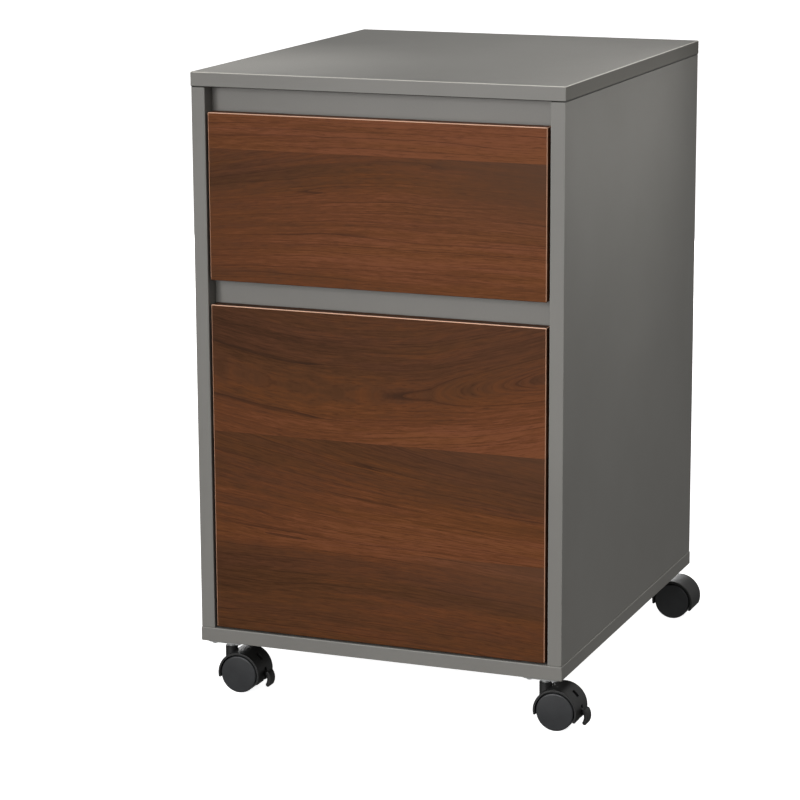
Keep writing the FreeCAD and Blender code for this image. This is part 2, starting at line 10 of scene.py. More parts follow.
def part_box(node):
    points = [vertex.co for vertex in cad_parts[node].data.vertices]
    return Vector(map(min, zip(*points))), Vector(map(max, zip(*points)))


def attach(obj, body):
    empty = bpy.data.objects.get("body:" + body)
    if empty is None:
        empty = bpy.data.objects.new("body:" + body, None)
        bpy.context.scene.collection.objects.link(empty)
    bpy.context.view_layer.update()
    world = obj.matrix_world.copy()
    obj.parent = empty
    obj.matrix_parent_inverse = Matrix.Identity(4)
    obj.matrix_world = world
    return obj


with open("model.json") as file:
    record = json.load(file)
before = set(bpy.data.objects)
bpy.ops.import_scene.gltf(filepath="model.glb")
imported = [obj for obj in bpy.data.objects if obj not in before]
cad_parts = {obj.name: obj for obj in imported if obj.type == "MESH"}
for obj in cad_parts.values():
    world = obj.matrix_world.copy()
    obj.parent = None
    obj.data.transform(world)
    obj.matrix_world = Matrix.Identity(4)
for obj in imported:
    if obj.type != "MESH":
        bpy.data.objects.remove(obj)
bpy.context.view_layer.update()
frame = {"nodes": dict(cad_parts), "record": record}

# The two drawers, the two sides with the sign of X there, and faces of the cabinet
LEVELS = ("upper", "lower")
SIDES = (("left", -1), ("right", 1))
TOP_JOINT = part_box("top_panel")[0][2]
CABINET_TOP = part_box("top_panel")[1][2]
FRONT_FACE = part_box("upper_drawer_front")[0][1]
FRONT_HALF_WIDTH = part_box("upper_drawer_front")[1][0]

# Camera, fitted to the photograph. Degrees and metres, with the focal length in pixels.
IMAGE_WIDTH = 800
SENSOR_WIDTH = 36.0
FOCAL_PIXELS = 2952.234
AZIMUTH = 21.582
ELEVATION = 12.703
ROLL = -0.289
EYE = (1.093519, -2.929714, 0.986206)
VIEW_DEPTH = 200.0

# The surround: its brightness below and above eye level, and how far from level it still changes
SURROUND_LOW = 0.15
SURROUND_HIGH = 0.42
SURROUND_CHANGE = 0.3
SURROUND_TINT = (1.0, 1.0, 0.98, 1.0)

# The floor: half its width and how much it glows
FLOOR_HALF_WIDTH = 40.0
FLOOR_GLOW = 0.9

# Soft boxes: where each stands, where it points, its size, its power in watts and its throw in degrees
SOFT_BOXES = {
    "front_key": ((-0.6, -2.5, 0.85), (0.95, 0.0, 0.1), (1.4, 1.4), 14.6, 90.0),
    "front_fill": ((1.8, -2.2, 0.9), (0.2, 0.0, 0.4), (0.8, 0.8), 1.4, 180.0),
    "right_fill": ((2.6, 0.5, 1.6), (0.2, 0.0, 0.5), (1.2, 1.2), 11.0, 180.0),
    "overhead": ((0.0, -0.2, 2.2), (0.0, -0.2, CABINET_TOP), (0.7, 0.7), 5.5, 180.0),
    "left_pool": ((-0.14, -0.06, 1.0), (-0.23, -0.22, CABINET_TOP), (0.1, 0.28), 0.24, 70.0),
    "right_pool": ((0.18, 0.01, 1.1), (0.12, -0.01, CABINET_TOP), (0.5, 0.1), 0.13, 60.0),
    "right_strip": ((0.36, -0.05, 0.80), (0.20, -0.05, 0.52), (0.45, 0.06), 0.18, 60.0),
    "back_fill": ((-0.9, 2.6, 0.35), (-0.1, 0.0, 0.35), (1.8, 0.5), 26.0, 180.0),
}

# How much of a face's normal lies along one axis where the face is flat, and where it still looks that way
FLAT = 0.99
FACING = 0.7

# The colour sockets of a Mix node, and the number sockets of a Random Value node. Their names aren't unique.
MIX_FIRST = 6
MIX_SECOND = 7
MIX_RESULT = 2
RANDOM_MAX = 3
RANDOM_RESULT = 1


class Surface:
    """A material in the making. Most methods add a node and return its output."""

    def __init__(self, name):
        self.material = bpy.data.materials.new(name)
        self.material.use_nodes = True
        self.tree = self.material.node_tree
        self.shader = self.tree.nodes["Principled BSDF"]
        self.place = self.add("ShaderNodeTexCoord").outputs["Object"]

    def add(self, kind, inputs=None, **settings):
        node = self.tree.nodes.new(kind)
        for key, value in settings.items():
            setattr(node, key, value)
        for key, value in (inputs or {}).items():
            self.put(node.inputs[key], value)
        return node

    def put(self, socket, value):
        if isinstance(value, bpy.types.NodeSocket):
            self.tree.links.new(value, socket)
        else:
            socket.default_value = value

    def math(self, operation, *values):
        return self.add("ShaderNodeMath", dict(enumerate(values)), operation=operation).outputs["Value"]

    def total(self, *parts):
        """The sum of some values, each given with its weight."""
        total = 0.0
        for value, weight in parts:
            total = self.math("MULTIPLY_ADD", value, weight, total)
        return total

    def spread(self, value, over, to):
        """The value moved from one range to another, and kept within it."""
        inputs = {"Value": value, "From Min": over[0], "From Max": over[1], "To Min": to[0], "To Max": to[1]}
        return self.add("ShaderNodeMapRange", inputs).outputs["Result"]

    def split(self, vector):
        return self.add("ShaderNodeSeparateXYZ", {"Vector": vector}).outputs

    def join(self, x, y, z):
        return self.add("ShaderNodeCombineXYZ", {"X": x, "Y": y, "Z": z}).outputs["Vector"]

    def normal(self):
        """The parts of the face's own normal along X, Y and Z."""
        return self.split(self.add("ShaderNodeNewGeometry").outputs["True Normal"])

    def stretched(self, scale):
        return self.add("ShaderNodeMapping", {"Vector": self.place, "Scale": scale}).outputs["Vector"]

    def noise(self, vector, scale=1.0, detail=2.0, roughness=0.5):
        inputs = {"Vector": vector, "Scale": scale, "Detail": detail, "Roughness": roughness}
        return self.add("ShaderNodeTexNoise", inputs).outputs["Fac"]

    def ramp(self, value, stops, interpolation="LINEAR"):
        """The colour at a value, between stops that are listed from low to high."""
        node = self.add("ShaderNodeValToRGB", {"Fac": value})
        node.color_ramp.interpolation = interpolation
        elements = node.color_ramp.elements
        for index, (position, colour) in enumerate(stops):
            stop = elements[index] if index < 2 else elements.new(position)
            stop.position = position
            stop.color = colour if len(colour) == 4 else (*colour, 1.0)
        return node.outputs["Color"]

    def blend(self, share, first, second, kind="MIX"):
        inputs = {"Factor": share, MIX_FIRST: first, MIX_SECOND: second}
        return self.add("ShaderNodeMix", inputs, data_type="RGBA", blend_type=kind).outputs[MIX_RESULT]

    def raise_by(self, height, strength, distance):
        inputs = {"Height": height, "Strength": strength, "Distance": distance}
        self.put(self.shader.inputs["Normal"], self.add("ShaderNodeBump", inputs).outputs["Normal"])

    def finish(self, inputs):
        """The material, with these inputs of its shader set."""
        for key, value in inputs.items():
            self.put(self.shader.inputs[key], value)
        return self.material


def srgb(red, green, blue):
    """A display colour from 0 to 255 as a linear one with alpha."""
    def linear(value):
        value /= 255
        return value / 12.92 if value <= 0.04045 else ((value + 0.055) / 1.055) ** 2.4
    return (linear(red), linear(green), linear(blue), 1.0)


def faces_along(surface, axis):
    """1 on the faces that look one way or the other along an axis, and 0 elsewhere."""
    return surface.math("GREATER_THAN", surface.math("ABSOLUTE", surface.normal()[axis]), FACING)


def arris_mask(surface):
    """1 on the rounded edges of a board and 0 on its flat faces."""
    x, y, z = (surface.math("ABSOLUTE", part) for part in surface.normal())
    largest = surface.math("MAXIMUM", surface.math("MAXIMUM", x, y), z)
    return surface.math("LESS_THAN", largest, FLAT)


def case_laminate():
    """Warm grey satin laminate with a fine pebble and pale edges.

    The pale edges are a painted highlight, palest on the top board's upper rim. The top board also has
    darker ends and a painted shadow in the joint below.
    """
    surface = Surface("case_laminate")
    pebble = surface.noise(surface.place, scale=1500.0, roughness=0.6)
    cloud = surface.noise(surface.place, scale=7.0, detail=3.0)
    shade = surface.total((pebble, 0.35), (cloud, 0.65))
    colour = surface.ramp(shade, [(0.3, srgb(118, 116, 112)), (0.7, srgb(127, 125, 121))])

    height = surface.split(surface.place)["Z"]
    in_top = surface.math("GREATER_THAN", height, TOP_JOINT)
    top_ends = surface.math("MULTIPLY", faces_along(surface, "X"), in_top)
    colour = surface.blend(top_ends, colour, srgb(99, 97, 92))

    arris = arris_mask(surface)

    def edge_at(level, reach=0.0008):
        """1 on the edges that lie at a height."""
        return surface.math("MULTIPLY", arris, surface.math("COMPARE", height, level, reach))

    # Painted highlight: the rounded edges are paled, and the upper rim of the top board more so.
    colour = surface.blend(surface.math("MULTIPLY", arris, 0.6), colour, srgb(139, 138, 133))
    colour = surface.blend(edge_at(CABINET_TOP), colour, srgb(180, 177, 170))
    # Painted shadow: a dark line along the joint under the top board.
    joint = surface.math("MULTIPLY", edge_at(TOP_JOINT), 0.9)
    colour = surface.blend(joint, colour, srgb(44, 43, 40))

    roughness = surface.spread(pebble, over=(0.3, 0.7), to=(0.42, 0.52))
    roughness = surface.math("MULTIPLY_ADD", arris, -0.15, roughness)
    surface.raise_by(pebble, strength=0.12, distance=0.0002)
    return surface.finish({"Base Color": colour, "Roughness": roughness, "Specular IOR Level": 0.3})


@dataclass
class Plank:
    """One plank of the walnut print, between two joints. Metres.

    The tones say how light it is at some heights, from 0 to 1. The grain leans by slope and arches by bend
    about middle, and fade is how far both die out towards the lower joint. Shade greys the upper right.
    A cathedral figure at the height axis lies reach below the surface, and comes up by taper right of
    FIGURE_START.
    """
    low: float
    high: float
    tones: tuple
    slope: float = 0.0
    bend: float = 0.0
    middle: float = 0.0
    fade: float = 0.0
    shade: float = 0.0
    axis: float = -1.0
    reach: float = 0.0
    taper: float = 0.0


# From the floor up. Each plank is darkest in its upper half.
PLANKS = (
    Plank(low=0.060, high=0.169, slope=-0.03, bend=0.12, middle=-0.05, shade=0.9,
          tones=((0.060, 0.64), (0.103, 0.61), (0.138, 0.48), (0.163, 0.68))),
    Plank(low=0.169, high=0.283, slope=-0.19, fade=0.8, shade=0.6,
          tones=((0.170, 0.92), (0.193, 0.86), (0.237, 0.68), (0.262, 0.54), (0.282, 0.42))),
    Plank(low=0.283, high=0.430, bend=-0.69, middle=-0.03, shade=0.2, axis=0.334, reach=0.0225, taper=0.15,
          tones=((0.284, 0.92), (0.297, 0.86), (0.315, 0.70), (0.333, 0.50), (0.385, 0.48), (0.429, 0.54))),
    Plank(low=0.430, high=0.576, bend=0.56, middle=0.05, fade=1.0, shade=1.0,
          tones=((0.431, 0.74), (0.480, 0.88), (0.530, 0.80), (0.560, 0.66), (0.575, 0.55))),
    Plank(low=0.576, high=0.630, bend=0.05,
          tones=((0.577, 1.00), (0.625, 0.88))),
)
FIGURE_START = 0.06
JOINT_MARGIN = 0.001

# The range that a plank's values lie in, with 0 in its middle
PLANK_RANGE = 4.0

# How far apart in the noise two planks lie, for each metre between them
PLANK_SPACING = 70.0

# The grain's sways: how often a metre each repeats along the grain and over it, and how far it swings
SWAYS = ((4.5, 7.0, 0.012), (16.0, 30.0, 0.002))

# Growth rings: how far apart they lie, how many rings they wander, a line's width in rings and its darkness
GROWTH_RINGS = ((0.012, 2.2, 0.10, 0.70), (0.0055, 1.8, 0.18, 0.45))

# How many patches of stronger and weaker lines there are to a ring
RING_PATCHES = 0.6


def plank_values(surface, level, *names):
    """Three values that change from plank to plank, held in a ramp's colours as shares of their range."""
    stops = []
    for plank in PLANKS:
        shares = [0.5 + getattr(plank, name) / PLANK_RANGE for name in names]
        stops.append((plank.low / CABINET_TOP, shares))
    held = surface.split(surface.ramp(level, stops, "CONSTANT"))
    return [surface.math("MULTIPLY_ADD", share, PLANK_RANGE, -PLANK_RANGE / 2) for share in held]


def walnut_grain(surface, x, z, level, seed):
    """A point's share down its plank, its height by the grain and its distance from the pith."""
    low, high, fade = plank_values(surface, level, "low", "high", "fade")
    slope, bend, middle = plank_values(surface, level, "slope", "bend", "middle")
    axis, reach, taper = plank_values(surface, level, "axis", "reach", "taper")
    down = surface.math("DIVIDE", surface.math("SUBTRACT", high, z), surface.math("SUBTRACT", high, low))

    across = surface.math("SUBTRACT", x, middle)
    arch = surface.math("MULTIPLY", surface.math("MULTIPLY", across, across), bend)
    lean = surface.math("SUBTRACT", arch, surface.math("MULTIPLY", slope, x))
    kept = surface.math("SUBTRACT", 1.0, surface.math("MULTIPLY", fade, down))
    height = surface.math("MULTIPLY_ADD", lean, kept, z)
    for along, over, swing in SWAYS:
        place = surface.join(surface.math("MULTIPLY", x, along), seed, surface.math("MULTIPLY", z, over))
        sway = surface.math("SUBTRACT", surface.noise(place, detail=1.0), 0.5)
        height = surface.math("MULTIPLY_ADD", sway, swing, height)
    inside = surface.math("MAXIMUM", height, surface.math("ADD", low, JOINT_MARGIN))
    inside = surface.math("MINIMUM", inside, surface.math("SUBTRACT", high, JOINT_MARGIN))

    above = surface.math("SUBTRACT", height, axis)
    past = surface.math("MAXIMUM", surface.math("SUBTRACT", x, FIGURE_START), 0.0)
    depth = surface.math("SUBTRACT", reach, surface.math("MULTIPLY", taper, past))
    depth_squared = surface.math("MULTIPLY", depth, depth)
    squares = surface.math("MULTIPLY_ADD", above, above, depth_squared)
    return down, inside, surface.math("SQRT", squares)


def walnut_arris(surface, wood):
    """The wood with a pale line on the edges that look up or sideways, palest where they look up as a
    painted highlight.
    """
    upward = surface.normal()["Z"]
    # Painted shade: edges that look down keep the wood's colour.
    arris = surface.math("MULTIPLY", arris_mask(surface), surface.math("GREATER_THAN", upward, -0.1))
    # Painted highlight: the line grows paler as the edge turns up.
    lit = surface.spread(upward, over=(0.1, 0.4), to=(0.0, 1.0))
    line = surface.blend(lit, srgb(186, 142, 116), srgb(228, 184, 158))
    return surface.blend(arris, wood, line)


def walnut_laminate():
    """Planked walnut print with streaks, growth rings, painted shade to the left and a pale arris with a
    painted highlight. It runs on over the level edges.
    """
    surface = Surface("walnut_laminate")
    x, y, z = surface.split(surface.place)
    behind = surface.math("SUBTRACT", y, FRONT_FACE)
    z = surface.math("MULTIPLY_ADD", faces_along(surface, "Z"), behind, z)
    level = surface.math("DIVIDE", z, CABINET_TOP)
    shade, low, _ = plank_values(surface, level, "shade", "low", "high")
    seed = surface.math("MULTIPLY", low, PLANK_SPACING)
    down, inside, pith = walnut_grain(surface, x, z, level, seed)

    def streaks(along, over, detail=2.0, roughness=0.5):
        """Noise that repeats so often a metre along the grain and over it."""
        place = surface.join(surface.math("MULTIPLY", x, along), seed, surface.math("MULTIPLY", pith, over))
        return surface.noise(place, detail=detail, roughness=roughness)

    # The tone of each plank, darker to the left as painted shade, with streaks of three widths
    tones = [(height / CABINET_TOP, (tone, tone, tone)) for plank in PLANKS for height, tone in plank.tones]
    tone = surface.ramp(surface.math("DIVIDE", inside, CABINET_TOP), tones)
    # Painted shade: the wood darkens towards the left.
    left = surface.spread(x, over=(-FRONT_HALF_WIDTH, 0.0), to=(-0.16, 0.0))
    tone = surface.math("ADD", tone, left)
    broad = streaks(along=3.0, over=60.0)
    lines = streaks(along=9.0, over=240.0)
    fine = streaks(along=50.0, over=640.0, detail=3.0, roughness=0.65)
    for part, weight in ((broad, 0.5), (lines, 0.45), (fine, 0.8)):
        tone = surface.math("MULTIPLY_ADD", surface.math("SUBTRACT", part, 0.5), weight, tone)
    wood = surface.ramp(tone, [
        (0.0, srgb(50, 31, 19)),
        (0.25, srgb(70, 43, 26)),
        (0.5, srgb(86, 53, 34)),
        (0.75, srgb(101, 59, 34)),
        (1.0, srgb(118, 70, 45)),
    ])

    # Yellower streaks and dark pores
    hue = surface.spread(streaks(along=5.0, over=55.0), over=(0.42, 0.62), to=(0.0, 1.0))
    wood = surface.blend(hue, wood, (0.98, 1.0, 0.88, 1.0), "MULTIPLY")
    pores = surface.spread(streaks(along=80.0, over=1500.0), over=(0.56, 0.70), to=(0.0, 0.4))
    wood = surface.blend(pores, wood, srgb(52, 31, 20))

    # Growth rings, which come and go along the grain
    for spacing, wander, width, darkness in GROWTH_RINGS:
        phase = surface.math("MULTIPLY_ADD", broad, wander, surface.math("DIVIDE", pith, spacing))
        ring = surface.spread(surface.math("FRACT", phase), over=(0.0, width), to=(1.0, 0.0))
        patches = streaks(along=4.0, over=RING_PATCHES / spacing, detail=1.0)
        strength = surface.spread(patches, over=(0.40, 0.60), to=(0.0, darkness))
        wood = surface.blend(surface.math("MULTIPLY", ring, strength), wood, srgb(46, 30, 21))

    # The grey of each plank's upper right
    right = surface.spread(x, over=(0.0, FRONT_HALF_WIDTH), to=(0.0, 0.8))
    upper = surface.spread(down, over=(0.0, 0.6), to=(1.0, 0.0))
    grey = surface.math("MULTIPLY", shade, surface.math("MULTIPLY", right, upper))
    wood = surface.blend(grey, wood, srgb(84, 58, 43))

    colour = walnut_arris(surface, wood)
    roughness = surface.spread(fine, over=(0.3, 0.7), to=(0.44, 0.54))
    surface.raise_by(fine, strength=0.08, distance=0.0002)
    return surface.finish({"Base Color": colour, "Roughness": roughness, "Specular IOR Level": 0.05})


def drawer_board():
    """Pale grey drawer board with a faint linen print."""
    surface = Surface("drawer_board")
    warp = surface.noise(surface.stretched((2600.0, 300.0, 300.0)))
    weft = surface.noise(surface.stretched((300.0, 300.0, 2600.0)))
    weave = surface.total((warp, 0.5), (weft, 0.5))
    colour = surface.ramp(weave, [(0.35, srgb(168, 168, 163)), (0.65, srgb(184, 184, 179))])
    roughness = surface.spread(weave, over=(0.35, 0.65), to=(0.5, 0.6))
    surface.raise_by(weave, strength=0.08, distance=0.0002)
    return surface.finish({"Base Color": colour, "Roughness": roughness})


def beech():
    """Pale beech with upright grain."""
    surface = Surface("beech")
    grain = surface.noise(surface.stretched((300.0, 300.0, 40.0)), detail=3.0)
    colour = surface.ramp(grain, [(0.3, srgb(178, 138, 94)), (0.7, srgb(208, 172, 128))])
    roughness = surface.spread(grain, over=(0.3, 0.7), to=(0.55, 0.7))
    return surface.finish({"Base Color": colour, "Roughness": roughness})


# Metals: darkest and lightest colour, how often a metre the streaks repeat along X, Y and Z, and the least
# and most roughness
METALS = {
    "slide_steel": ((204, 207, 210), (222, 224, 226), (700.0, 8.0, 700.0), (0.34, 0.44)),
    "bearing_steel": ((196, 198, 200), (226, 227, 228), (500.0, 60.0, 500.0), (0.18, 0.28)),
    "zinc_fitting": ((192, 194, 194), (218, 219, 218), (420.0, 420.0, 420.0), (0.28, 0.40)),
    "rail_aluminium": ((208, 209, 210), (226, 227, 228), (1200.0, 6.0, 1200.0), (0.30, 0.40)),
}

# Nylons: darkest and lightest colour, and the least and most roughness
NYLONS = {
    "caster_nylon": ((20, 20, 20), (30, 30, 30), (0.42, 0.54)),
    "wheel_nylon": ((36, 37, 39), (48, 49, 51), (0.36, 0.46)),
}


def metal(name, dark, light, stretch, rough):
    """Plated metal with drawn streaks in its brightness and gloss."""
    surface = Surface(name)
    streak = surface.noise(surface.stretched(stretch), detail=3.0)
    cloud = surface.noise(surface.place, scale=40.0)
    tone = surface.total((streak, 0.5), (cloud, 0.5))
    colour = surface.ramp(tone, [(0.35, srgb(*dark)), (0.65, srgb(*light))])
    roughness = surface.spread(tone, over=(0.35, 0.65), to=rough)
    surface.raise_by(streak, strength=0.02, distance=0.0001)
    return surface.finish({"Base Color": colour, "Metallic": 0.65, "Roughness": roughness})


def moulded_nylon(name, dark, light, rough):
    """Moulded black plastic with a spark-eroded grain."""
    surface = Surface(name)
    grain = surface.noise(surface.place, scale=2200.0, roughness=0.6)
    cloud = surface.noise(surface.place, scale=60.0)
    tone = surface.total((grain, 0.5), (cloud, 0.5))
    colour = surface.ramp(tone, [(0.35, srgb(*dark)), (0.65, srgb(*light))])
    roughness = surface.spread(grain, over=(0.3, 0.7), to=rough)
    surface.raise_by(grain, strength=0.15, distance=0.0001)
    return surface.finish({"Base Color": colour, "Roughness": roughness})


def finishes():
    """The cabinet's materials by the record's slot names."""
    boards = {
        "case_laminate": case_laminate(),
        "walnut_laminate": walnut_laminate(),
        "drawer_board": drawer_board(),
        "beech": beech(),
    }
    metals = {name: metal(name, *values) for name, values in METALS.items()}
    nylons = {name: moulded_nylon(name, *values) for name, values in NYLONS.items()}
    return {**boards, **metals, **nylons}


def dress_cad_nodes(materials):
    """Gives each CAD node the finish of its slot."""
    for part in frame["record"]["subparts"]:
        mesh = frame["nodes"][part["node"]].data
        mesh.materials.clear()
        mesh.materials.append(materials[part["material_slot"]])


def placed(name, data):
    """A new object in the scene, from its mesh, lamp or camera."""
    thing = bpy.data.objects.new(name, data)
    bpy.context.collection.objects.link(thing)
    return thing


def shaped(name, shape):
    """A new object in the scene from a bmesh, which is used up."""
    mesh = bpy.data.meshes.new(name)
    shape.to_mesh(mesh)
    shape.free()
    return placed(name, mesh)


def settle(piece):
    """Makes a piece's modifiers part of its mesh."""
    mesh = bpy.data.meshes.new_from_object(piece.evaluated_get(bpy.context.evaluated_depsgraph_get()))
    mesh.name = piece.name
    piece.modifiers.clear()
    piece.data = mesh


# Heads of the fasteners. Their sizes are in millimetres.
MILLIMETRE = 0.001
MERGE_DISTANCE = 1e-7
ROUND_STEPS = 40
DOME_STEPS = 8
HEAD_SINK = 0.2
RECESS_TAPER = 0.55
RECESS_CLEARANCE = 1.0


def turned(name, outline):
    """A turned head that sinks into what it is on. Its outline is (radius, height) from crown to rim."""
    rim_radius = outline[-1][0]
    profile = outline + [(rim_radius, -HEAD_SINK), (0, -HEAD_SINK)]
    shape = bmesh.new()
    corners = [shape.verts.new(Vector((radius, 0, height)) * MILLIMETRE) for radius, height in profile]
    edges = [shape.edges.new(pair) for pair in zip(corners, corners[1:])]
    bmesh.ops.spin(shape, geom=corners + edges, axis=(0, 0, 1), angle=2 * math.pi, steps=ROUND_STEPS)
    bmesh.ops.remove_doubles(shape, verts=shape.verts, dist=MERGE_DISTANCE)
    bmesh.ops.recalc_face_normals(shape, faces=shape.faces)
    return shaped(name, shape)


def recess_cutter(length, width, floor, top):
    """A cross with arms that shorten downwards, turned by half a step to keep off the head's own edges."""
    half = width / 2
    shape = bmesh.new()
    turns = [Matrix.Rotation(math.pi / 2 * quarter + math.pi / ROUND_STEPS, 3, "Z") for quarter in range(4)]
    rings = []
    for reach, height in ((length / 2 * RECESS_TAPER, floor), (length / 2, top)):
        arm = [Vector((reach, -half, height)), Vector((reach, half, height)), Vector((half, half, height))]
        rings.append([shape.verts.new(turn @ corner * MILLIMETRE) for turn in turns for corner in arm])
        shape.faces.new(rings[-1])
    lower, upper = rings
    for index in range(len(lower)):
        shape.faces.new((lower[index - 1], lower[index], upper[index], upper[index - 1]))
    bmesh.ops.recalc_face_normals(shape, faces=shape.faces)
    return shaped("recess", shape)


def cross_cut(head, length, width, floor, crown):
    """The head with a crossed recess in its crown."""
    cutter = recess_cutter(length, width, floor, crown + RECESS_CLEARANCE)
    cut = head.modifiers.new("recess", "BOOLEAN")
    cut.object = cutter
    cut.solver = "EXACT"
    settle(head)
    bpy.data.objects.remove(cutter)
    return head


def dome(radius, height):
    """The outline of a domed head, a quarter of an ellipse."""
    turns = [math.pi / 2 * step / DOME_STEPS for step in range(DOME_STEPS + 1)]
    return [(radius * math.sin(turn), height * math.cos(turn)) for turn in turns]


def pan_head():
    crown = 1.7
    head = turned("pan_head", dome(radius=3.45, height=crown))
    return cross_cut(head, length=3.4, width=0.75, floor=0.5, crown=crown)


def flat_head():
    crown = 0.5
    head = turned("flat_head", [(0, crown), (2.9, crown), (3.25, 0.2)])
    return cross_cut(head, length=3.4, width=0.75, floor=0.1, crown=crown)


def cam_head():
    crown, groove = 0.35, 0.15
    cover = [(0, crown), (4.9, crown), (5.1, groove)]
    rim = [(5.5, groove), (5.7, crown), (7.2, crown), (7.5, 0.1)]
    head = turned("cam_head", cover + rim)
    return cross_cut(head, length=7.5, width=1.3, floor=0.0, crown=crown)


def rivet_head():
    return turned("rivet_head", dome(radius=2.4, height=0.9))


def fastener_field():
    """Geometry nodes: one fastener on each point, along its own way and turned at random about it."""
    tree = bpy.data.node_groups.new("fastener_field", "GeometryNodeTree")
    face = tree.interface
    face.new_socket("Geometry", in_out="OUTPUT", socket_type="NodeSocketGeometry")
    sockets = {
        "Points": "NodeSocketGeometry",
        "Fastener": "NodeSocketObject",
        "Finish": "NodeSocketMaterial",
        "Turn": "NodeSocketFloat",
        "Seed": "NodeSocketInt",
    }
    identifiers = {}
    for name, kind in sockets.items():
        identifiers[name] = face.new_socket(name, in_out="INPUT", socket_type=kind).identifier

    def add(kind, **settings):
        node = tree.nodes.new(kind)
        for key, value in settings.items():
            setattr(node, key, value)
        return node

    given = add("NodeGroupInput").outputs
    way = add("GeometryNodeInputNamedAttribute", data_type="FLOAT_VECTOR")
    way.inputs["Name"].default_value = "way"
    align = add("FunctionNodeAlignRotationToVector", axis="Z")
    chance = add("FunctionNodeRandomValue", data_type="FLOAT")
    spin = add("FunctionNodeAxisAngleToRotation")
    spin.inputs["Axis"].default_value = (0.0, 0.0, 1.0)
    turn = add("FunctionNodeRotateRotation", rotation_space="LOCAL")
    source = add("GeometryNodeObjectInfo")
    copies = add("GeometryNodeInstanceOnPoints")
    real = add("GeometryNodeRealizeInstances")
    finish = add("GeometryNodeSetMaterial")
    links = [
        (way.outputs["Attribute"], align.inputs["Vector"]),
        (given["Turn"], chance.inputs[RANDOM_MAX]),
        (given["Seed"], chance.inputs["Seed"]),
        (chance.outputs[RANDOM_RESULT], spin.inputs["Angle"]),
        (align.outputs["Rotation"], turn.inputs["Rotation"]),
        (spin.outputs["Rotation"], turn.inputs["Rotate By"]),
        (given["Fastener"], source.inputs["Object"]),
        (given["Points"], copies.inputs["Points"]),
        (source.outputs["Geometry"], copies.inputs["Instance"]),
        (turn.outputs["Rotation"], copies.inputs["Rotation"]),
        (copies.outputs["Instances"], real.inputs["Geometry"]),
        (real.outputs["Geometry"], finish.inputs["Geometry"]),
        (given["Finish"], finish.inputs["Material"]),
        (finish.outputs["Geometry"], add("NodeGroupOutput").inputs["Geometry"]),
    ]
    for start, stop in links:
        tree.links.new(start, stop)
    return tree, identifiers


def fastened(field, name, head, places, material, body, seed):
    """A fastener at each place, given as a point and the way that it faces, as one piece on a body."""
    tree, identifiers = field
    mesh = bpy.data.meshes.new(name)
    mesh.from_pydata([point for point, _ in places], [], [])
    ways = mesh.attributes.new("way", "FLOAT_VECTOR", "POINT")
    for item, (_, way) in zip(ways.data, places):
        item.vector = way
    piece = placed(name, mesh)
    modifier = piece.modifiers.new("fasteners", "NODES")
    modifier.node_group = tree
    for key, value in {"Fastener": head, "Finish": material, "Turn": math.pi, "Seed": seed}.items():
        modifier[identifiers[key]] = value
    settle(piece)
    for polygon in piece.data.polygons:
        polygon.use_smooth = False
    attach(piece, body)


# The sheet that the slides are rolled from, and where their screws sit, as shares of a member's length
SLIDE_SHEET = 0.0012
CASE_SCREWS = (0.09, 0.5, 0.91)
DRAWER_SCREWS = (0.06, 0.38, 0.72, 0.94)

# The release levers: their outline, their section, and their pivot as a share of the drawer member's length
RELEASE_LENGTH = 0.060
RELEASE_DROP = 0.006
RELEASE_ROOT = 0.0048
RELEASE_TIP = 0.0026
RELEASE_STEPS = 16
RELEASE_THICKNESS = 0.0024
RELEASE_ROUNDING = 0.0004
RELEASE_PIVOT = 0.2

# Edges that turn by more than this, in radians, are rounded
SHARP_TURN = 1.0

# How far behind the front the cams sit, and where cams and back screws sit, as shares of a side's height
CAM_INSET = 0.024
CAMS = {"upper": (0.28, 0.76), "lower": (0.16, 0.5, 0.84)}
BACK_SCREWS = {"upper": (0.24, 0.82), "lower": (0.16, 0.7, 0.9)}


def web_places(member, sign, outward, shares):
    """Places along the middle of a slide member's web, with the way that its face there looks."""
    low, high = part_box(member)
    nearest, furthest = sorted((abs(low[0]), abs(high[0])))
    x = sign * (nearest + SLIDE_SHEET if outward else furthest - SLIDE_SHEET)
    z = (low[2] + high[2]) / 2
    way = (sign if outward else -sign, 0, 0)
    return [((x, low[1] + (high[1] - low[1]) * share, z), way) for share in shares]


def slide_fasteners(field, heads, material):
    """Screws through the slides: flat heads into the case sides and pan heads into the drawer sides."""
    in_case = []
    for level in LEVELS:
        in_drawer = []
        for side, sign in SIDES:
            slide = f"{level}_{side}_slide"
            in_case += web_places(f"{slide}_case_member", sign, outward=False, shares=CASE_SCREWS)
            in_drawer += web_places(f"{slide}_drawer_member", sign, outward=True, shares=DRAWER_SCREWS)
        name, body = f"{level}_drawer_slide_screws", f"{level}_drawer"
        fastened(field, name, heads["pan"], in_drawer, material, body, seed=3)
    fastened(field, "case_slide_screws", heads["flat"], in_case, material, "case", seed=5)


def release_outline():
    """The edge of a release lever from its pivot: a tapering arm that drops to a round tip. Metres."""
    def edge(share, turn):
        """A point at a share of the arm's length, turned away from the arm's own direction."""
        direction = turn + math.atan2(-2 * RELEASE_DROP * share, RELEASE_LENGTH)
        reach = RELEASE_ROOT + (RELEASE_TIP - RELEASE_ROOT) * share
        along = RELEASE_LENGTH * share + reach * math.cos(direction)
        return (along, -RELEASE_DROP * share ** 2 + reach * math.sin(direction))

    quarter = math.pi / 2
    shares = [step / RELEASE_STEPS for step in range(RELEASE_STEPS + 1)]
    half_turn = [math.pi * share for share in shares[1:-1]]
    upper = [edge(share, quarter) for share in shares]
    nose = [edge(1.0, quarter - turn) for turn in half_turn]
    lower = [edge(share, -quarter) for share in reversed(shares)]
    heel = [edge(0.0, -quarter - turn) for turn in half_turn]
    return upper + nose + lower + heel


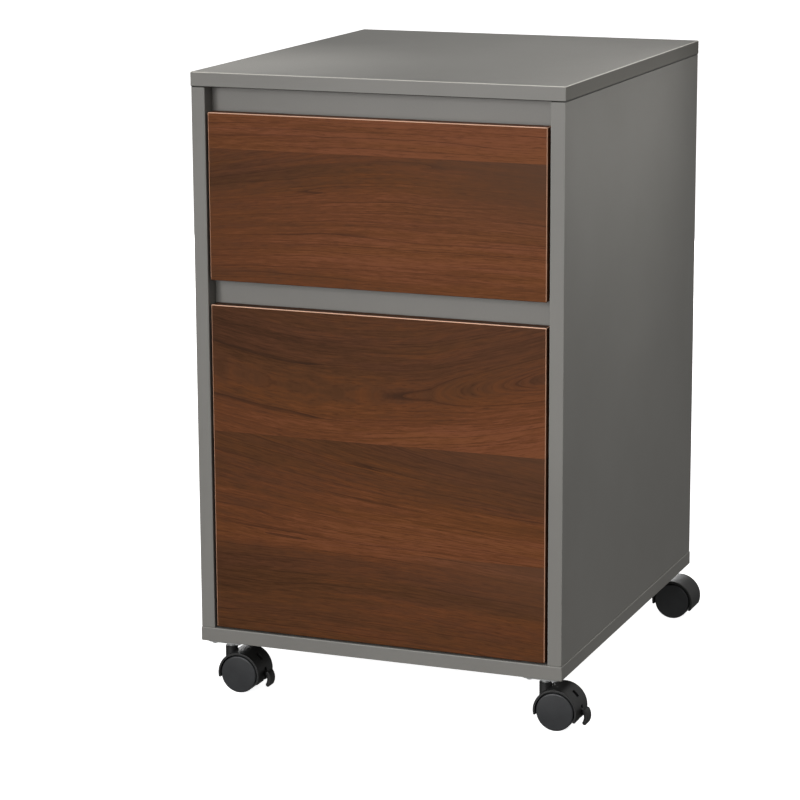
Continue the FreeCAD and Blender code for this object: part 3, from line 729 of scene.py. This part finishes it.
def add_release(shape, pivot, way):
    """One release lever in a bmesh, from its pivot on the web and standing up from it."""
    x, y, z = pivot
    ring = [shape.verts.new((x, y + along, z + up)) for along, up in release_outline()]
    grown = bmesh.ops.extrude_face_region(shape, geom=[shape.faces.new(ring)])["geom"]
    raised = [part for part in grown if isinstance(part, bmesh.types.BMVert)]
    bmesh.ops.translate(shape, verts=raised, vec=Vector(way) * RELEASE_THICKNESS)


def slide_releases(field, zinc, nylon):
    """Black thumb levers, riveted inside the drawer members, that free a drawer from its slides."""
    rivet = rivet_head()
    for level in LEVELS:
        shape = bmesh.new()
        rivets = []
        for side, sign in SIDES:
            member = f"{level}_{side}_slide_drawer_member"
            pivot, way = web_places(member, sign, outward=True, shares=(RELEASE_PIVOT,))[0]
            add_release(shape, pivot, way)
            rivets.append((Vector(pivot) + Vector(way) * RELEASE_THICKNESS, way))
        bmesh.ops.recalc_face_normals(shape, faces=shape.faces)
        sharp = [edge for edge in shape.edges if edge.calc_face_angle(0) > SHARP_TURN]
        bmesh.ops.bevel(shape, geom=sharp, offset=RELEASE_ROUNDING, segments=2, affect="EDGES")
        levers = shaped(f"{level}_drawer_slide_releases", shape)
        levers.data.materials.append(nylon)
        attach(levers, f"{level}_drawer")
        fastened(field, f"{level}_drawer_release_rivets", rivet, rivets, zinc, f"{level}_drawer", seed=13)
    bpy.data.objects.remove(rivet)


def drawer_fasteners(field, heads, material):
    """Cams that pull the sides to the front, and screws through the sides into the back."""
    for level in LEVELS:
        body = f"{level}_drawer"
        back_low, back_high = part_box(f"{level}_drawer_back")
        back_middle = (back_low[1] + back_high[1]) / 2
        cams = []
        screws = []
        for side, sign in SIDES:
            low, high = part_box(f"{level}_drawer_{side}_side")
            inner, outer = sorted((abs(low[0]), abs(high[0])))
            height = high[2] - low[2]
            for share in CAMS[level]:
                cams.append(((sign * inner, low[1] + CAM_INSET, low[2] + height * share), (-sign, 0, 0)))
            for share in BACK_SCREWS[level]:
                screws.append(((sign * outer, back_middle, low[2] + height * share), (sign, 0, 0)))
        fastened(field, f"{level}_drawer_cams", heads["cam"], cams, material, body, seed=7)
        fastened(field, f"{level}_drawer_back_screws", heads["flat"], screws, material, body, seed=11)


def fittings(zinc, nylon):
    """The small fittings on the slides and in the drawers."""
    field = fastener_field()
    heads = {"pan": pan_head(), "flat": flat_head(), "cam": cam_head()}
    slide_fasteners(field, heads, zinc)
    slide_releases(field, zinc, nylon)
    drawer_fasteners(field, heads, zinc)
    for head in heads.values():
        bpy.data.objects.remove(head)


def photo_camera():
    """A camera at the photograph's viewing angle."""
    data = bpy.data.cameras.new("photo_camera")
    data.sensor_width = SENSOR_WIDTH
    data.lens = FOCAL_PIXELS * SENSOR_WIDTH / IMAGE_WIDTH
    data.clip_end = VIEW_DEPTH
    camera = placed("photo_camera", data)
    turn, tilt = math.radians(AZIMUTH), math.radians(ELEVATION)
    back = Vector((math.sin(turn) * math.cos(tilt), -math.cos(turn) * math.cos(tilt), math.sin(tilt)))
    aim = back.to_track_quat("Z", "Y") @ Quaternion((0, 0, 1), math.radians(ROLL))
    camera.matrix_world = Matrix.Translation(EYE) @ aim.to_matrix().to_4x4()
    bpy.context.scene.camera = camera


def surround():
    """A pale surround, darker below eye level than above it."""
    world = bpy.data.worlds.new("pale_surround")
    world.use_nodes = True
    nodes, links = world.node_tree.nodes, world.node_tree.links
    direction = nodes.new("ShaderNodeTexCoord").outputs["Generated"]
    height = nodes.new("ShaderNodeSeparateXYZ")
    shade = nodes.new("ShaderNodeMapRange")
    shade.inputs["From Min"].default_value = -SURROUND_CHANGE
    shade.inputs["From Max"].default_value = SURROUND_CHANGE
    shade.inputs["To Min"].default_value = SURROUND_LOW
    shade.inputs["To Max"].default_value = SURROUND_HIGH
    background = nodes["Background"].inputs
    background["Color"].default_value = SURROUND_TINT
    links.new(direction, height.inputs["Vector"])
    links.new(height.outputs["Z"], shade.inputs["Value"])
    links.new(shade.outputs["Result"], background["Strength"])
    bpy.context.scene.world = world


def plain_floor():
    """A plain pale floor with a glow of its own. The cabinet neither mirrors it nor takes light from it."""
    shape = bmesh.new()
    bmesh.ops.create_grid(shape, x_segments=1, y_segments=1, size=FLOOR_HALF_WIDTH)
    floor = shaped("floor", shape)
    floor.visible_diffuse = False
    floor.visible_glossy = False
    surface = Surface("pale_floor")
    mottle = surface.noise(surface.place, scale=3.0)
    tint = surface.ramp(mottle, [(0.3, (0.88, 0.88, 0.88)), (0.7, (0.90, 0.90, 0.90))])
    floor.data.materials.append(surface.finish({
        "Base Color": tint,
        "Roughness": 0.9,
        "Emission Color": (1.0, 1.0, 1.0, 1.0),
        "Emission Strength": FLOOR_GLOW,
    }))


def soft_box(name, place, target, size, power, throw):
    """A rectangular lamp that the camera doesn't see."""
    data = bpy.data.lights.new(name, "AREA")
    data.shape = "RECTANGLE"
    data.size, data.size_y = size
    data.energy = power
    data.spread = math.radians(throw)
    light = placed(name, data)
    light.visible_camera = False
    aim = (Vector(place) - Vector(target)).to_track_quat("Z", "Y")
    light.matrix_world = Matrix.Translation(place) @ aim.to_matrix().to_4x4()


def studio():
    """A pale surround and floor, with soft boxes at the front, right, top and back."""
    bpy.context.scene.view_settings.view_transform = "Standard"
    surround()
    plain_floor()
    for name, values in SOFT_BOXES.items():
        soft_box(name, *values)


photo_camera()
studio()
materials = finishes()
dress_cad_nodes(materials)
fittings(materials["zinc_fitting"], materials["caster_nylon"])
